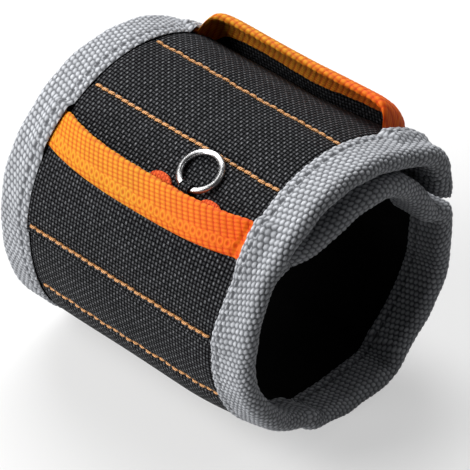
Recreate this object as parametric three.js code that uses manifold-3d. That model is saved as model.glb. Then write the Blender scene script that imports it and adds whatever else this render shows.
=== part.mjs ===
// Magnetic wristband: a quilted cloth band with magnets inside, wrapped past one full turn and lying on
// its side. Millimetres, +Z up, the loop's axis along Y, the mouth of the loop that faces the viewer at -Y.
// A place on the band is given by s, the distance from the flap's tip along the middle of its thickness,
// by y across it, and by the height over that middle, positive towards the outer face.
import * as THREE from 'three';
import { mergeVertices } from 'three/addons/utils/BufferGeometryUtils.js';
import Module from 'manifold-3d';

// Band, seen flat
const bandWidth = 90;
const shellThickness = 0.7;
const coreThickness = 2.4;
const liningThickness = 0.7;
const layerGap = 0.2; // between cloth layers that lie on each other
const edgePinch = 0.2; // how far the sewn binding draws each face of the cloth in

// Binding tape, folded over every edge of the band
const bindingWidth = 12;
const endBindingWidth = 8;
const bindingThickness = 0.7;

// Loop: angles in degrees from the top of the loop, growing towards the left wall
const loopRadius = 41.5; // to the outer face of the shell
const loopLean = 1.3; // how far the loop leans out of round, to the upper left
const soleBulge = 1.8; // how far the bottom of the loop stands out of the circle
const soleAngle = 192;
const soleSpan = 20;
const floorTurn = 182; // middle of the flat run that lies on the table
const floorHalf = 12; // half of that run
const floorPress = 1.2; // how far the weight of the band flattens the loop there
const cornerSpan = 14; // turn in which the flat run bends up into the walls
const heelBulge = 3; // how far the lower left of the loop stands out of the circle
const heelAngle = 131;
const heelSpan = 26;
const tipAngle = -70;
const innerEndAngle = 415;
const stepSpan = 36; // turn in which the band steps in to pass under the flap
const stepMargin = 6; // turn between the flap's tip and that step
const sagStart = 322; // where the inner end leaves the flap
const sagSpan = 126;
const sagDepth = 8.6;
const layerClearance = 1; // between the bindings of the flap and of the layer under it
const taperLength = 40; // the inner end narrows over this length
const taperDepth = 4.5; // by this much on each side

// Lengths along the band, one after the other from the flap's tip
const flapPocketDepth = 24.5;
const firstRowLength = 16;
const rowPitch = 22.4;
const plainStrip = 9.4; // bare cloth over the mouth of the side pocket
const sidePocketDepth = 31.8;
const baseRun = 66; // from the last stitch line to the fold line of the right wall

// Quilting
const channelDepth = 0.6;
const channelHalf = 1.6;
const hingeGap = 0.5;
const facetLength = 5; // longest facet of the bend
const bendSamples = 1600; // points at which the bend's length is measured
const touching = 1e-3; // places that lie closer than this are one

// Magnets, three across in each row
const magnetLength = 10;
const magnetWidth = 12;
const magnetThickness = 1.6;
const magnetsAcross = 3;
const magnetClearance = 0.3;
const rowMargin = 0.5; // flat cloth past both ends of a magnet's window

// Patch pockets with a tape on the mouth
const panelThickness = 0.6;
const tapeWidth = 10.8;
const tapeThickness = 0.8;
const sidePocketBulge = 3.6;
const sidePocketSag = 3.1;
const flapPocketBulge = 5.6;
const seamClearance = 0.3;
const pocketColumns = 10;
const slackPower = 3; // how fully a pocket's mouth stands out between its sewn sides

// Hook and loop closure
const hookLength = 24;
const loopPatchLength = 62;
const patchClearance = 0.8; // between the hooks and the loops at rest

// Ring in the mouth of the side pocket
const ringAcross = -11.5; // its place across the band
const ringRadius = 5.7;
const ringWire = 1.7;
const ringClearance = 0.4;
const ringAboveMouth = 1.2;
const tabThickness = 0.8;
const tabDrop = 1.3; // how far its plate lies under the ring's lowest point
const tabEarWidth = 5;
const tabEarHeight = 2.4;
const tabDepth = 6;
const tabWall = 0.5;
const sleeveHalf = 1.5;

const bandThickness = shellThickness + coreThickness + liningThickness + 2 * layerGap;
const face = bandThickness / 2;
const bindingFace = face + layerGap + bindingThickness;
const layerPitch = 2 * bindingFace + layerClearance;
const patchThickness = (layerPitch - bandThickness - patchClearance) / 2 - layerGap;
const clothHalf = bandWidth / 2 - bindingFace; // half width of the cloth inside the binding
const fieldHalf = bandWidth / 2 - bindingWidth - seamClearance; // half width between the bindings
const nose = bindingFace - layerGap; // how far the tape reaches past the cloth
const endReach = endBindingWidth - nose + seamClearance; // where an end's tape stops on the cloth

const flapPocketMouth = flapPocketDepth;
const stitchB = flapPocketMouth + firstRowLength;
const stitchA = stitchB + rowPitch;
const sidePocketMouth = stitchA + plainStrip;
const flapHinge = sidePocketMouth + sidePocketDepth;
const stitchD = flapHinge + rowPitch;
const stitchE = stitchD + rowPitch;
const wallHinge = stitchE + baseRun;
const stitches = [stitchB, stitchA, flapHinge, stitchD, stitchE, wallHinge];
const rows = [
  (flapPocketMouth + stitchB) / 2,
  (stitchB + stitchA) / 2,
  (sidePocketMouth + tapeWidth + flapHinge) / 2,
  (flapHinge + stitchD) / 2,
  (stitchD + stitchE) / 2,
];
const rowFlat = magnetLength + 2 * (magnetClearance + rowMargin); // magnets keep the cloth flat there

// Middle of the band, seen from the near mouth: a leaning circle, fuller at the lower left and at the bottom
// and flat where it lies on the table, that steps in by one layer before it passes under the flap's tip and
// then sags to a straighter inner end.
const floorDepth = loopRadius - face + soleBulge - floorPress;
const floorAngle = THREE.MathUtils.radToDeg(Math.atan(floorHalf / floorDepth));
class BandPath extends THREE.Curve {
  getPoint(t, target = new THREE.Vector3()) {
    const turn = THREE.MathUtils.lerp(tipAngle, innerEndAngle, t);
    const angle = THREE.MathUtils.degToRad(turn);
    const stepEnd = 360 + tipAngle - stepMargin;
    const step = layerPitch * THREE.MathUtils.smoothstep(turn, stepEnd - stepSpan, stepEnd);
    const sag = turn > sagStart ? sagDepth * Math.sin((Math.PI * (turn - sagStart)) / sagSpan) ** 2 : 0;
    const heel = heelBulge * Math.exp(-(((turn - heelAngle) / heelSpan) ** 2));
    const sole = soleBulge * Math.exp(-(((turn - soleAngle) / soleSpan) ** 2));
    const round = loopRadius - face + loopLean * Math.sin(2 * angle) + heel + sole - step - sag;
    const fromFloor = Math.abs(turn - floorTurn);
    const lift = THREE.MathUtils.smoothstep(fromFloor, floorAngle, floorAngle + cornerSpan);
    const floor = lift < 1 ? -floorDepth / Math.cos(angle) : round;
    const radius = THREE.MathUtils.lerp(floor, Math.min(floor, round), lift);
    return target.set(-radius * Math.sin(angle), 0, radius * Math.cos(angle));
  }
}
const path = new BandPath();
path.arcLengthDivisions = bendSamples;
const bandLength = path.getLength();

// Distance from the flap's tip at which the band reaches a turn.
function placeOfTurn(turn) {
  const share = (turn - tipAngle) / (innerEndAngle - tipAngle);
  const lengths = path.getLengths();
  const step = share * path.arcLengthDivisions;
  const before = Math.floor(step);
  return THREE.MathUtils.lerp(lengths[before], lengths[before + 1], step - before);
}

// Places along the band where its facets meet: at stitch channels, magnet rows and hinges, and between
// them evenly.
function bendPlaces() {
  const marks = [0, endReach, bandLength - endReach, bandLength];
  marks.push(placeOfTurn(floorTurn - floorAngle), placeOfTurn(floorTurn + floorAngle));
  for (const s of stitches) marks.push(s - channelHalf, s, s + channelHalf);
  for (const s of rows) marks.push(s - rowFlat / 2, s + rowFlat / 2);
  for (const s of [flapHinge, wallHinge]) marks.push(s - hingeGap / 2, s + hingeGap / 2);
  marks.sort((a, b) => a - b);
  const places = [marks[0]];
  for (const mark of marks.slice(1)) {
    const last = places[places.length - 1];
    const isRow = rows.some((s) => last < s && s < mark);
    const count = isRow ? 1 : Math.ceil((mark - last) / facetLength);
    for (let i = 1; i <= count; i += 1) {
      const s = last + ((mark - last) * i) / count;
      if (s - places[places.length - 1] > touching) places.push(s);
    }
  }
  return places;
}
const places = bendPlaces();
const corners = places.map((s) => path.getPointAt(Math.min(s / bandLength, 1)));

// Outward normal of the facet that starts at corner i.
function facetNormal(i) {
  const a = corners[THREE.MathUtils.clamp(i, 0, corners.length - 2)];
  const b = corners[THREE.MathUtils.clamp(i + 1, 1, corners.length - 1)];
  const along = new THREE.Vector3().subVectors(b, a).normalize();
  return new THREE.Vector3(along.z, 0, -along.x);
}

// Normals at the corners, lengthened so that every height stays parallel to the facets.
const mitres = corners.map((corner, i) => {
  const before = facetNormal(i - 1);
  const after = facetNormal(i);
  const sum = new THREE.Vector3().addVectors(before, after);
  return sum.divideScalar(1 + before.dot(after));
});

// Point over the facets at distance s from the tip; past either end it runs straight on.
function onBand(s, y, height) {
  let i = 0;
  while (i < places.length - 2 && places[i + 1] < s) i += 1;
  const part = (s - places[i]) / (places[i + 1] - places[i]);
  const start = corners[i].clone().addScaledVector(mitres[i], height);
  const end = corners[i + 1].clone().addScaledVector(mitres[i + 1], height);
  const point = start.lerp(end, part);
  point.y = y;
  return point;
}

// Facet corners from one place to another, with both ends.
function span(from, to) {
  const inside = places.filter((s) => s > from + touching && s < to - touching);
  return [from, ...inside, to];
}

// How far each edge is drawn back at a place along the band, where the inner end narrows.
function taper(s) {
  const share = (s - bandLength + endReach + taperLength) / taperLength;
  return taperDepth * THREE.MathUtils.clamp(share, 0, 1) ** 2;
}

// How far the stitches draw the cloth in at a place along the band.
function channel(s) {
  const drawn = stitches.map((line) => Math.max(0, 1 - Math.abs(s - line) / channelHalf));
  return channelDepth * Math.max(...drawn);
}

// Turns a closed geometry's faces outward.
function faceOutward(geometry) {
  const index = geometry.getIndex();
  const position = geometry.getAttribute('position');
  const corner = [new THREE.Vector3(), new THREE.Vector3(), new THREE.Vector3()];
  let volume = 0;
  for (let i = 0; i < index.count; i += 3) {
    corner.forEach((c, k) => c.fromBufferAttribute(position, index.getX(i + k)));
    volume += corner[0].dot(corner[1].clone().cross(corner[2]));
  }
  if (volume < 0) {
    for (let i = 0; i < index.count; i += 3) {
      const first = index.getX(i);
      index.setX(i, index.getX(i + 1));
      index.setX(i + 1, first);
    }
  }
  geometry.computeVertexNormals();
  return geometry;
}

// Closed solid through sections of the same count of points [s, y, height]; across names the two of these
// that span a section's plane. The first half of a section goes out along one face and the second half
// returns along the other, and both faces are split into triangles on the same diagonals.
function loft(sections, across) {
  const count = sections[0].length;
  const position = sections.flat().flatMap(([s, y, height]) => onBand(s, y, height).toArray());
  const index = [];
  for (let i = 0; i + 1 < sections.length; i += 1) {
    for (let j = 0; j < count; j += 1) {
      const a = i * count + j;
      const b = i * count + ((j + 1) % count);
      const returning = 2 * j >= count;
      if (returning) index.push(a, b, a + count, b, b + count, a + count);
      else index.push(a, b, b + count, a, b + count, a + count);
    }
  }
  const last = (sections.length - 1) * count;
  for (const [section, offset] of [[sections[0], 0], [sections[sections.length - 1], last]]) {
    const outline = section.map((point) => new THREE.Vector2(point[across[0]], point[across[1]]));
    const along = THREE.ShapeUtils.area(outline) > 0;
    for (const triangle of THREE.ShapeUtils.triangulateShape(outline, [])) {
      const turn = THREE.ShapeUtils.area(triangle.map((k) => outline[k])) > 0;
      const ordered = (turn === along) === (offset > 0) ? triangle : triangle.reverse();
      index.push(...ordered.map((k) => k + offset));
    }
  }
  const geometry = new THREE.BufferGeometry();
  geometry.setAttribute('position', new THREE.Float32BufferAttribute(position, 3));
  geometry.setIndex(index);
  return faceOutward(geometry);
}

// One cloth layer of the band from one place to another, between two heights that depend on the place. Its
// upper and lower faces are drawn in under the binding by their own depths.
function layer(from, to, low, high, lowPinch, highPinch) {
  const sections = span(from, to).map((s) => {
    const edge = clothHalf - taper(s);
    const field = fieldHalf - taper(s);
    return [
      [s, -edge, high(s) - highPinch],
      [s, -field, high(s)],
      [s, field, high(s)],
      [s, edge, high(s) - highPinch],
      [s, edge, low(s) - lowPinch],
      [s, field, low(s)],
      [s, -field, low(s)],
      [s, -edge, low(s) - lowPinch],
    ];
  });
  return loft(sections, [1, 2]);
}

// Patch that lies between the bindings.
function patch(from, to, low, high) {
  const sections = span(from, to).map((s) => {
    const half = fieldHalf - taper(s);
    return [[s, -half, high], [s, half, high], [s, half, low], [s, -half, low]];
  });
  return loft(sections, [1, 2]);
}

// Section of the folded tape: a rounded nose over the edge and a leg on each face, reaching inward.
function bindingOutline(edge, inward, width) {
  const steps = 4;
  const hollow = face + layerGap;
  const leg = edge + inward * width;
  const bend = edge + inward * bindingFace;
  const bottom = edge + inward * (bindingFace - layerGap);
  const outline = [[leg, bindingFace]];
  for (let i = 0; i <= steps; i += 1) {
    const turn = (Math.PI * i) / steps;
    outline.push([bend - inward * bindingFace * Math.sin(turn), bindingFace * Math.cos(turn)]);
  }
  outline.push([leg, -bindingFace], [leg, -hollow], [bottom, -hollow], [bottom, hollow], [leg, hollow]);
  return outline;
}

function edgeBinding(from, to, side) {
  const outline = bindingOutline((side * bandWidth) / 2, -side, bindingWidth);
  const sections = span(from, to).map((s) => outline.map(([y, height]) => [s, y - side * taper(s), height]));
  return loft(sections, [1, 2]);
}

// Tape over an end of the band: a rounded cover, closed at both sides, with a slot for the band's end.
function endBinding(end, inward) {
  const outline = bindingOutline(end, inward, endBindingWidth);
  const cover = outline.slice(0, -4);
  const slot = outline.slice(-4).map(([s, height], i) => [i % 3 ? s : s + inward * layerGap, height]);
  const inside = clothHalf + layerGap - taper(end);
  const outside = bandWidth / 2 - taper(end);
  const section = (points, y, flatten) => points.map(([s, height]) => [s, y, height * flatten]);
  const corner = [0, 25, 50, 75].map((degrees) => {
    const turn = THREE.MathUtils.degToRad(degrees);
    return [inside + (outside - inside) * Math.sin(turn), Math.cos(turn)];
  });
  const near = corner.map(([y, flatten]) => section(cover, -y, flatten)).reverse();
  const far = corner.map(([y, flatten]) => section(cover, y, flatten));
  const cut = loft([section(slot, -inside, 1), section(slot, inside, 1)], [0, 2]);
  return geometryOf(solidOf(loft([...near, ...far], [0, 2])).subtract(solidOf(cut)));
}

// Slack of a pocket's mouth across the band, none at its sewn sides.
function slack(y) {
  return 1 - Math.abs(y / fieldHalf) ** slackPower;
}

// Place and height of a pocket's cloth at a share of its depth, from the mouth to the bottom seam.
function pocketPoint(pocket, share, y) {
  const depth = pocket.seam - pocket.mouth;
  const sag = Math.sign(depth) * pocket.sag * slack(y) * (1 - share);
  const bulge = pocket.bulge * slack(y) * Math.cos((Math.PI * share) / 2) ** 2;
  return [pocket.mouth + depth * share + sag, y, face + layerGap + bulge];
}

// Cloth of a pocket from its mouth to a share of its depth, raised over the pocket's own surface.
function pocketCloth(pocket, toShare, raise, thickness) {
  const depth = pocket.seam - pocket.mouth;
  const tapeEnd = pocket.mouth + (tapeWidth * depth) / Math.abs(depth);
  const ends = [pocket.mouth, pocket.seam].sort((a, b) => a - b);
  const shares = [...span(...ends), tapeEnd].map((s) => (s - pocket.mouth) / depth);
  const kept = [...new Set(shares)].sort((a, b) => a - b).filter((share) => share <= toShare + touching);
  const sections = kept.map((share) => {
    const top = [];
    for (let i = 0; i <= pocketColumns; i += 1) {
      const y = fieldHalf * ((2 * i) / pocketColumns - 1);
      const [s, across, height] = pocketPoint(pocket, share, y);
      top.push([s, across, height + raise]);
    }
    const outer = top.map(([s, y, height]) => [s, y, height + thickness]);
    return [...outer, ...top.reverse()];
  });
  return loft(sections, [1, 2]);
}

// Joins and cuts of closed solids
const wasm = await Module();
wasm.setup();

function solidOf(geometry) {
  const bare = geometry.clone();
  bare.deleteAttribute('normal');
  bare.deleteAttribute('uv');
  const merged = mergeVertices(bare, touching / 10);
  return new wasm.Manifold(
    new wasm.Mesh({
      numProp: 3,
      vertProperties: new Float32Array(merged.getAttribute('position').array),
      triVerts: new Uint32Array(merged.getIndex().array),
    }),
  );
}

function geometryOf(solid) {
  const mesh = solid.getMesh();
  const geometry = new THREE.BufferGeometry();
  geometry.setAttribute('position', new THREE.Float32BufferAttribute(mesh.vertProperties, 3));
  geometry.setIndex(new THREE.Uint32BufferAttribute(mesh.triVerts, 1));
  geometry.computeVertexNormals();
  return geometry;
}

// Finishes
const ballisticCloth = { color: 0x1d1d20, roughness: 0.85, metalness: 0 };
const liningMesh = { color: 0x0d0d0e, roughness: 0.9, metalness: 0 };
const foam = { color: 0x3b3c3e, roughness: 0.95, metalness: 0 };
const greyTape = { color: 0x8f9195, roughness: 0.8, metalness: 0 };
const orangeTape = { color: 0xf7871e, roughness: 0.75, metalness: 0 };
const redTape = { color: 0xe4521c, roughness: 0.75, metalness: 0 };
const hookTape = { color: 0x161617, roughness: 0.7, metalness: 0 };
const loopTape = { color: 0x19191b, roughness: 1, metalness: 0 };
const nickel = { color: 0xbfc0c2, roughness: 0.3, metalness: 1 };
const chrome = { color: 0xd9dadb, roughness: 0.15, metalness: 1 };

const base = new THREE.Group();
const flap = new THREE.Group();
const wall = new THREE.Group();

function piece(group, name, geometry, finish) {
  const mesh = new THREE.Mesh(geometry, new THREE.MeshStandardMaterial(finish));
  mesh.name = name;
  group.add(mesh);
  return mesh;
}

// Middle of a magnet and the way it lies: x along the band, z out of it.
function magnetPlace(s, y) {
  const start = onBand(s - rowFlat / 2, y, 0);
  const end = onBand(s + rowFlat / 2, y, 0);
  const along = new THREE.Vector3().subVectors(end, start).normalize();
  const out = new THREE.Vector3(along.z, 0, -along.x);
  const turn = new THREE.Matrix4().makeBasis(along, out.clone().cross(along), out);
  return turn.setPosition(start.lerp(end, 0.5));
}

function acrossBand(column) {
  const pitch = (bandWidth - 2 * bindingWidth) / magnetsAcross;
  return (column - (magnetsAcross - 1) / 2) * pitch;
}

// Magnet with rounded corners, lying flat.
function magnetGeometry() {
  const x = magnetLength / 2;
  const y = magnetWidth / 2;
  const corner = magnetThickness;
  const outline = new THREE.Shape();
  outline.absarc(x - corner, y - corner, corner, 0, Math.PI / 2);
  outline.absarc(corner - x, y - corner, corner, Math.PI / 2, Math.PI);
  outline.absarc(corner - x, corner - y, corner, Math.PI, 1.5 * Math.PI);
  outline.absarc(x - corner, corner - y, corner, 1.5 * Math.PI, 2 * Math.PI);
  const options = { depth: magnetThickness, bevelEnabled: false, curveSegments: 3 };
  return new THREE.ExtrudeGeometry(outline, options).translate(0, 0, -magnetThickness / 2);
}

// Foam core with a window for each magnet.
function core(from, to, windowRows) {
  const low = (s) => -face + liningThickness + layerGap + channel(s);
  const high = (s) => face - shellThickness - layerGap - channel(s);
  let solid = solidOf(layer(from, to, low, high, -edgePinch, edgePinch));
  const grown = 2 * magnetClearance;
  for (const s of windowRows) {
    for (let column = 0; column < magnetsAcross; column += 1) {
      const window = new THREE.BoxGeometry(magnetLength + grown, magnetWidth + grown, 2 * bandThickness);
      solid = solid.subtract(solidOf(window.applyMatrix4(magnetPlace(s, acrossBand(column)))));
    }
  }
  return geometryOf(solid);
}

// The band's four layers over one stretch: shell, core, lining and the tape on both edges.
function stretch(group, name, from, to, edges, windowRows) {
  const top = (s) => face - channel(s);
  const bottom = (s) => -face + channel(s);
  const shellBack = (s) => top(s) - shellThickness;
  const liningBack = (s) => bottom(s) + liningThickness;
  const shell = layer(from, to, shellBack, top, edgePinch, edgePinch);
  const lining = layer(from, to, bottom, liningBack, -edgePinch, -edgePinch);
  piece(group, `shell_${name}`, shell, ballisticCloth);
  piece(group, `core_${name}`, core(from, to, windowRows), foam);
  piece(group, `lining_${name}`, lining, liningMesh);
  piece(group, `binding_near_${name}`, edgeBinding(edges[0], edges[1], -1), greyTape);
  piece(group, `binding_far_${name}`, edgeBinding(edges[0], edges[1], 1), greyTape);
  for (const s of windowRows) {
    for (let column = 0; column < magnetsAcross; column += 1) {
      const label = `magnet_${rows.indexOf(s) + 1}_${column + 1}`;
      const magnet = piece(group, label, magnetGeometry(), nickel);
      magnetPlace(s, acrossBand(column)).decompose(magnet.position, magnet.quaternion, magnet.scale);
    }
  }
}

const flapEnd = flapHinge - hingeGap / 2;
const baseStart = flapHinge + hingeGap / 2;
const baseEnd = wallHinge - hingeGap / 2;
const wallStart = wallHinge + hingeGap / 2;
stretch(flap, 'flap', 0, flapEnd, [endReach, flapEnd], rows.slice(0, 3));
stretch(base, 'base', baseStart, baseEnd, [baseStart, baseEnd], rows.slice(3));
stretch(wall, 'wall', wallStart, bandLength, [wallStart, bandLength - endReach], []);
piece(flap, 'binding_tip', endBinding(-nose, 1), greyTape);
piece(wall, 'binding_inner_end', endBinding(bandLength + nose, -1), greyTape);

// Pockets: one opens upward on the side of the loop, the other, on the flap, opens towards it.
const sidePocket = {
  mouth: sidePocketMouth,
  seam: flapEnd - channelHalf,
  bulge: sidePocketBulge,
  sag: sidePocketSag,
};
const flapPocket = { mouth: flapPocketMouth, seam: endReach, bulge: flapPocketBulge, sag: 0 };
for (const [name, pocket] of [['side', sidePocket], ['flap', flapPocket]]) {
  const tapeShare = tapeWidth / Math.abs(pocket.seam - pocket.mouth);
  const tape = pocketCloth(pocket, tapeShare, panelThickness + layerGap, tapeThickness);
  piece(flap, `pocket_panel_${name}`, pocketCloth(pocket, 1, 0, panelThickness), ballisticCloth);
  piece(flap, `pocket_tape_${name}`, tape, orangeTape);
}

// Hooks under the flap's end, loops on the layer that it closes on.
const loopEnd = bandLength - endReach;
const hookTop = -face - layerGap;
const loopBottom = face + layerGap;
const hookFace = hookTop - patchThickness;
const loopFace = loopBottom + patchThickness;
const hooks = patch(endReach, endReach + hookLength, hookFace, hookTop);
const loops = patch(loopEnd - loopPatchLength, loopEnd, loopBottom, loopFace);
piece(flap, 'hook_patch', hooks, hookTape);
piece(wall, 'loop_patch', loops, loopTape);

// Ring: its lowest point turns in a sleeve of the tab, which is sewn inside the pocket's mouth.
const mouthPoint = pocketPoint(sidePocket, 0, ringAcross);
const sleeveBore = ringWire / 2 + sleeveHalf ** 2 / (2 * ringRadius) + tabWall / 2;
const sleeveRadius = sleeveBore + tabWall;
const ringPlace = mouthPoint[0] - ringAboveMouth;
const ringHeight = face + ringClearance + sleeveRadius;
const pivot = onBand(ringPlace, ringAcross, ringHeight);
const ringTop = onBand(ringPlace - 2 * ringRadius, ringAcross, face + ringWire / 2 + ringClearance);
const lean = new THREE.Vector3().subVectors(ringTop, pivot).normalize();

// Frame with x across the band, y along the given way and z out of the band.
function standing(origin, way) {
  const across = new THREE.Vector3(0, -1, 0);
  const out = new THREE.Vector3().crossVectors(across, way);
  return new THREE.Matrix4().makeBasis(across, way, out).setPosition(origin);
}

const ring = piece(flap, 'ring', new THREE.TorusGeometry(ringRadius, ringWire / 2, 8, 32), chrome);
const ringMiddle = pivot.clone().addScaledVector(lean, ringRadius);
standing(ringMiddle, lean).decompose(ring.position, ring.quaternion, ring.scale);

// Tab: a plate with an ear on both sides of the ring, and the sleeve across its upper edge.
function tabGeometry() {
  const inner = ringRadius + ringWire / 2 + ringClearance;
  const outer = inner + tabEarWidth;
  const round = tabEarWidth / 2;
  const bridge = -sleeveBore;
  const outline = new THREE.Shape();
  outline.moveTo(-outer, -tabDepth);
  outline.lineTo(outer, -tabDepth);
  outline.absarc(outer - round, tabEarHeight - round, round, 0, Math.PI);
  outline.lineTo(inner, bridge);
  outline.lineTo(-inner, bridge);
  outline.absarc(round - outer, tabEarHeight - round, round, 0, Math.PI);
  const plateOptions = { depth: tabThickness, bevelEnabled: false, curveSegments: 4 };
  const plate = new THREE.ExtrudeGeometry(outline, plateOptions).translate(0, 0, -tabDrop);
  const tube = new THREE.Shape().absarc(0, 0, sleeveRadius, 0, 2 * Math.PI);
  tube.holes.push(new THREE.Path().absarc(0, 0, sleeveBore, 0, 2 * Math.PI));
  const sleeveOptions = { depth: 2 * sleeveHalf, bevelEnabled: false, curveSegments: 8 };
  const sleeve = new THREE.ExtrudeGeometry(tube, sleeveOptions);
  sleeve.translate(0, 0, -sleeveHalf).rotateY(Math.PI / 2);
  return geometryOf(solidOf(plate).add(solidOf(sleeve)));
}
const uphill = pivot.clone().sub(onBand(ringPlace + tabDepth, ringAcross, ringHeight)).normalize();
const tab = piece(flap, 'ring_tab', tabGeometry(), redTape);
standing(pivot, uphill).decompose(tab.position, tab.quaternion, tab.scale);

// The origin is on the table, under the middle of the whole.
const band = new THREE.Group().add(base, flap, wall);
const box = new THREE.Box3().setFromObject(band);
band.position.set(-(box.min.x + box.max.x) / 2, 0, -box.min.z);

const wristband = new THREE.Group().add(band);
export default wristband;
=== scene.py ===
import math

import bpy
import numpy as np
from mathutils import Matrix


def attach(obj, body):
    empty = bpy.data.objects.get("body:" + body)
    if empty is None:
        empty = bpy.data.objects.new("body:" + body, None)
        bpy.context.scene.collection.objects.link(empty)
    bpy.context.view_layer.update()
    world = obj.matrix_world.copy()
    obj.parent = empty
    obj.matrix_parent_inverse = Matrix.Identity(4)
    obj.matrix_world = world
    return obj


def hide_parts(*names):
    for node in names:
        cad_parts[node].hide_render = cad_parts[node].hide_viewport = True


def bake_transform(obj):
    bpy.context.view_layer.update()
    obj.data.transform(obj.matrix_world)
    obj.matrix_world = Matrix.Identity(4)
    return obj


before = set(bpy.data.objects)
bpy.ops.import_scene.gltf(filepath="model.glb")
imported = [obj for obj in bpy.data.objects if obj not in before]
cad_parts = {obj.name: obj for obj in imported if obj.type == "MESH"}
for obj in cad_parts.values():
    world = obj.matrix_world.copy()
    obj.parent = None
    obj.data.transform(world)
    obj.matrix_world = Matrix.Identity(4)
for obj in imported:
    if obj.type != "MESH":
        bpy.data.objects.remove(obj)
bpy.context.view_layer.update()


# Foam padding
# Three strips of closed-cell foam, one for each stretch of the band, die-cut with a window for every
# magnet. They lie loose between the outer cloth and the lining, and the stitch lines hold them.

loop_middle_x, loop_middle_z = 0.863903, 43.0
stitch_b, stitch_a, stitch_c, stitch_d, stitch_e, wall_fold = 40.5, 62.9, 104.1, 126.5, 148.9, 214.9
foam_top, foam_bottom, foam_half_width = 1.15, -1.15, 41.4
magnet_rows, magnet_columns = (32.5, 51.7, 93.6, 115.3, 137.7), (-22.0, 0.0, 22.0)
window_half_length, window_half_width = 5.6, 6.6


def ease(value, start, end):
    """Smooth step: 0 up to start, 1 from end on, and 3k2 - 2k3 between, with k the share of the way."""
    share = np.clip((np.asarray(value, float) - start) / (end - start), 0, 1)
    return share * share * (3 - 2 * share)


def band_line():
    """The band's middle line as x, z and the length so far. The turn goes from the flap's tip at -70 degrees, over the
    top, down the left, along the floor and up the right to the inner end at 415. The radius is a circle with a slight
    lean and two bells, a fuller heel at the lower left and a sole at the bottom, less a step where the wall goes under
    the flap and a sag of the inner end. Where the sole meets the table it is flat."""
    turn = np.linspace(-70, 415, 9701)
    angle = np.radians(turn)
    heel, sole = 3 * np.exp(-((turn - 131) / 26) ** 2), 1.8 * np.exp(-((turn - 192) / 20) ** 2)
    sag = np.where(turn > 322, 8.6 * np.sin(np.pi * (turn - 322) / 126) ** 2, 0)
    circle = 39.4 + 1.3 * np.sin(2 * angle) + heel + sole - 7 * ease(turn, 248, 284) - sag
    flat_half = math.degrees(math.atan(12 / 40))
    lift = ease(np.abs(turn - 182), flat_half, flat_half + 14)
    floor = np.where(lift < 1, -40 / np.cos(angle), circle)
    radius = floor + (np.minimum(floor, circle) - floor) * lift
    x = loop_middle_x - radius * np.sin(angle)
    z = loop_middle_z + radius * np.cos(angle)
    return x, z, np.concatenate([[0], np.cumsum(np.hypot(np.diff(x), np.diff(z)))])


line_x, line_z, line_run = band_line()
line_dx, line_dz = np.gradient(line_x, line_run), np.gradient(line_z, line_run)
band_length = line_run[-1]


def on_band(along, across, height):
    """Points of the band in millimetres: along its middle line from the flap's tip, across it from the middle, and
    height off the middle line along its outward normal. Past both ends the line runs straight on. Worn cloth doesn't
    keep one line over its width, so four soft shifts are added to the height:
    - at the near mouth the heel is drawn in by up to 3.6 mm, between two smooth steps along the band and by the square
      of the way from 16 mm off the middle
    - the flap's near corner flares by up to 4 mm, a bell along the band times the way from 5 mm off the middle
    - before it goes under the flap the wall keeps a shoulder, a lopsided bell of up to 4.8 mm, lower to the far edge
    - the last 16 mm of the inner end spring back outwards by up to 4.6 mm"""
    along, across, height = np.broadcast_arrays(*[np.asarray(v, float) for v in (along, across, height)])
    heel = 3.6 * ease(along, 112, 138) * (1 - ease(along, 161, 176)) * np.clip((-across - 16) / 29, 0, 1) ** 2
    flare = 4.0 * np.exp(-((along - 11.5) / 10.5) ** 2) * np.clip((-across - 5) / 40, 0, 1)
    bell_half = np.where(along > 242.5, 4.5, 7.5)
    shoulder = 4.8 * np.exp(-((along - 242.5) / bell_half) ** 2) * (0.3 + 0.7 * ease(across, 20, -40))
    height = height - heel + flare + shoulder + 4.6 * ease(along, band_length - 16, band_length + 2)
    held = np.clip(along, 0, band_length)
    past = along - held
    tx, tz = np.interp(held, line_run, line_dx), np.interp(held, line_run, line_dz)
    size = np.hypot(tx, tz)
    tx, tz = tx / size, tz / size
    x = np.interp(held, line_run, line_x) + tx * past + tz * height
    z = np.interp(held, line_run, line_z) + tz * past - tx * height
    return np.stack([x, across, z], axis=-1)


def grid_of(rows, columns):
    """Two grids, of the places down the rows and of those along the columns."""
    return np.meshgrid(rows, columns, indexing="ij")


def drawn_back(along):
    """How far each edge is drawn back where the inner end narrows: 4.5 mm by the squared share of its last 40 mm."""
    return 4.5 * np.clip((along - band_length + 45.5) / 40, 0, 1) ** 2


def grid_faces(rows, columns, first=0):
    """The quads of a grid of points that is stored row by row."""
    corner = first + np.arange(rows - 1)[:, None] * columns + np.arange(columns - 1)[None, :]
    return np.stack([corner, corner + columns, corner + columns + 1, corner + 1], axis=-1).reshape(-1, 4)


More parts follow.
